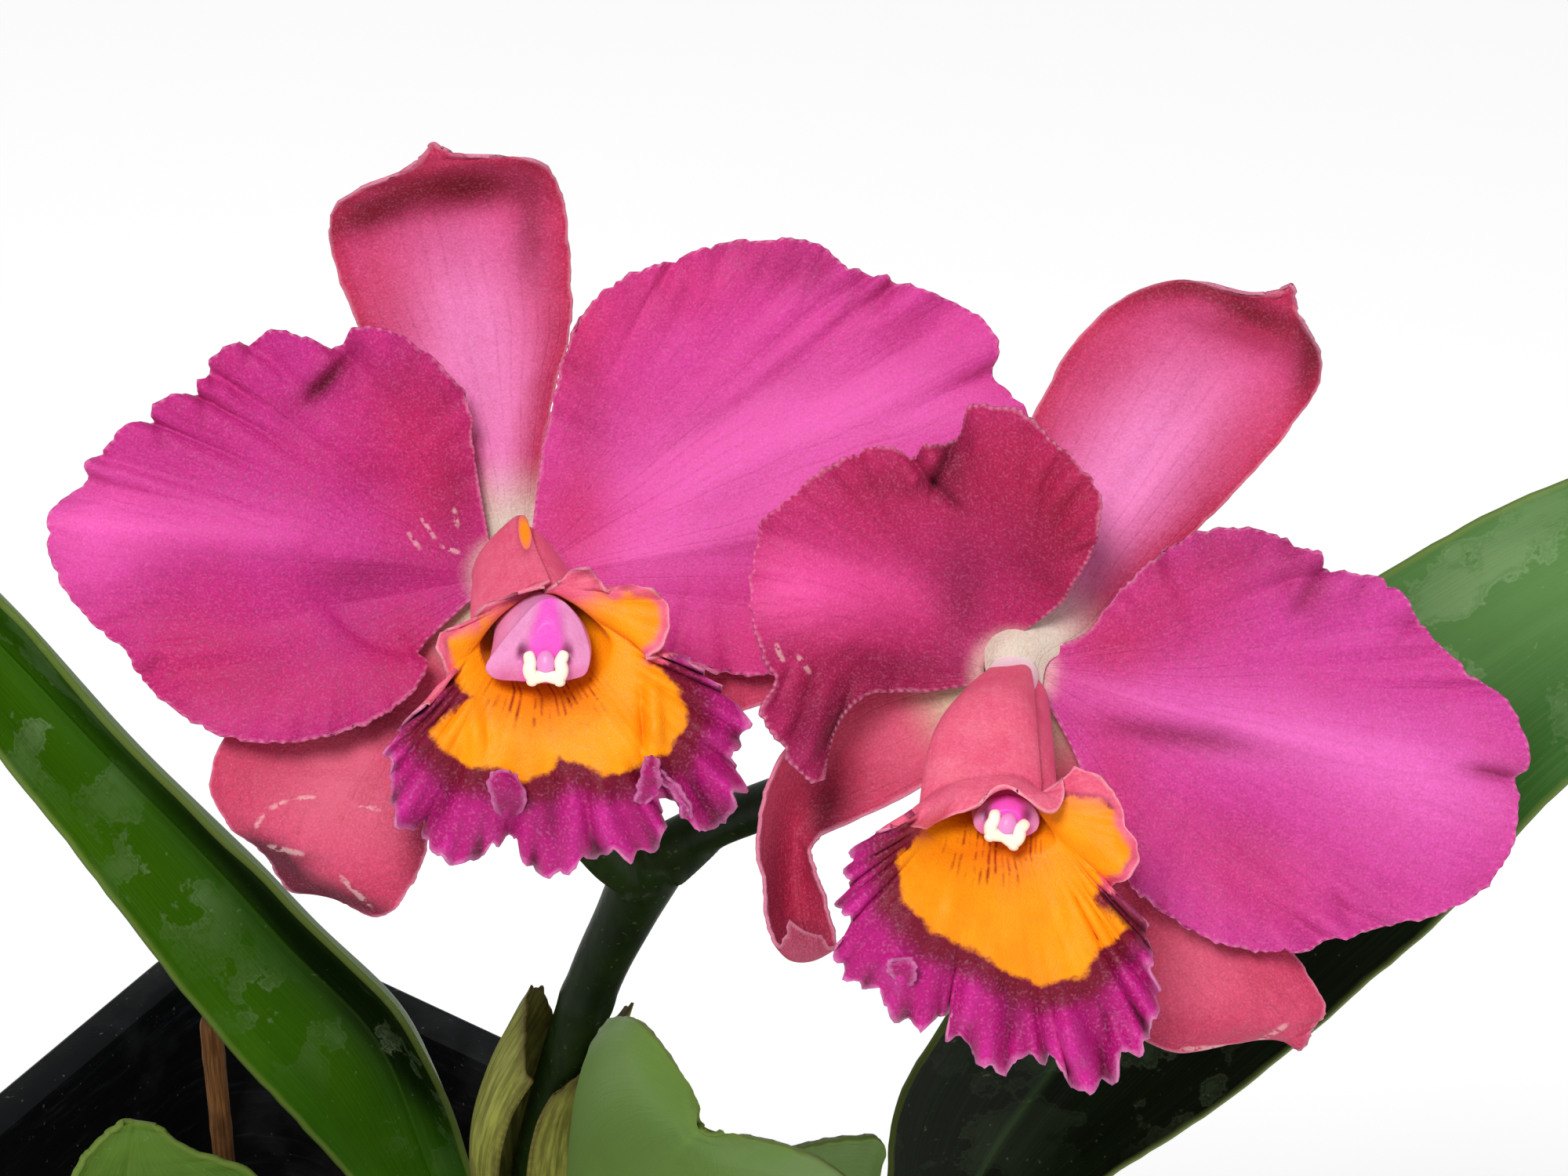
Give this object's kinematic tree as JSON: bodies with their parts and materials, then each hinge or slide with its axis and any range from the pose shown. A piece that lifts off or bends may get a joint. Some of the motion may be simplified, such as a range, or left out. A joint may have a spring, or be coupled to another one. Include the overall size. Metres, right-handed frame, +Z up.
{
  "type": "cattleya orchid in a pot",
  "caption": "Potted cattleya orchid: frilled, open blooms on a forked stem over strap leaves and club-shaped bulbs, in a tapered square nursery pot filled with bark mix.",
  "frame": {"origin": "centre of the pot's base, on the surface that it stands on", "axes": "+Z up; the blooms look toward -Y and upward, +X is to their right as the viewer sees them"},
  "size_m": [0.2502, 0.1838, 0.2958],
  "materials": {
    "pot": "satin",
    "bark": "matte",
    "root": "matte",
    "bulb": "satin",
    "leaf": "satin",
    "sheath": "matte",
    "stem": "satin",
    "stick": "matte",
    "sepal": "satin",
    "petal": "satin",
    "lip": "satin",
    "column": "satin",
    "cap": "satin"
  },
  "bodies": {
    "root": {"pot": "pot", "bark_mix": "bark", "rhizome": "root", "dry_stem": "stick", "flower_sheath": "sheath", "flower_stem": "stem", "bulb_1": "bulb", "bulb_2": "bulb", "bulb_3": "bulb", "bulb_4": "bulb", "leaf_left": "leaf", "leaf_front": "leaf", "leaf_right": "leaf", "leaf_low_right": "leaf", "leaf_low_left": "leaf", "bloom_1.dorsal_sepal": "sepal", "bloom_1.sepal_left": "sepal", "bloom_1.sepal_right": "sepal", "bloom_1.petal_left": "petal", "bloom_1.petal_right": "petal", "bloom_1.lip": "lip", "bloom_1.column": "column", "bloom_1.anther_cap": "cap", "bloom_2.dorsal_sepal": "sepal", "bloom_2.sepal_left": "sepal", "bloom_2.sepal_right": "sepal", "bloom_2.petal_left": "petal", "bloom_2.petal_right": "petal", "bloom_2.lip": "lip", "bloom_2.column": "column", "bloom_2.anther_cap": "cap"}
  },
  "joints": []
}
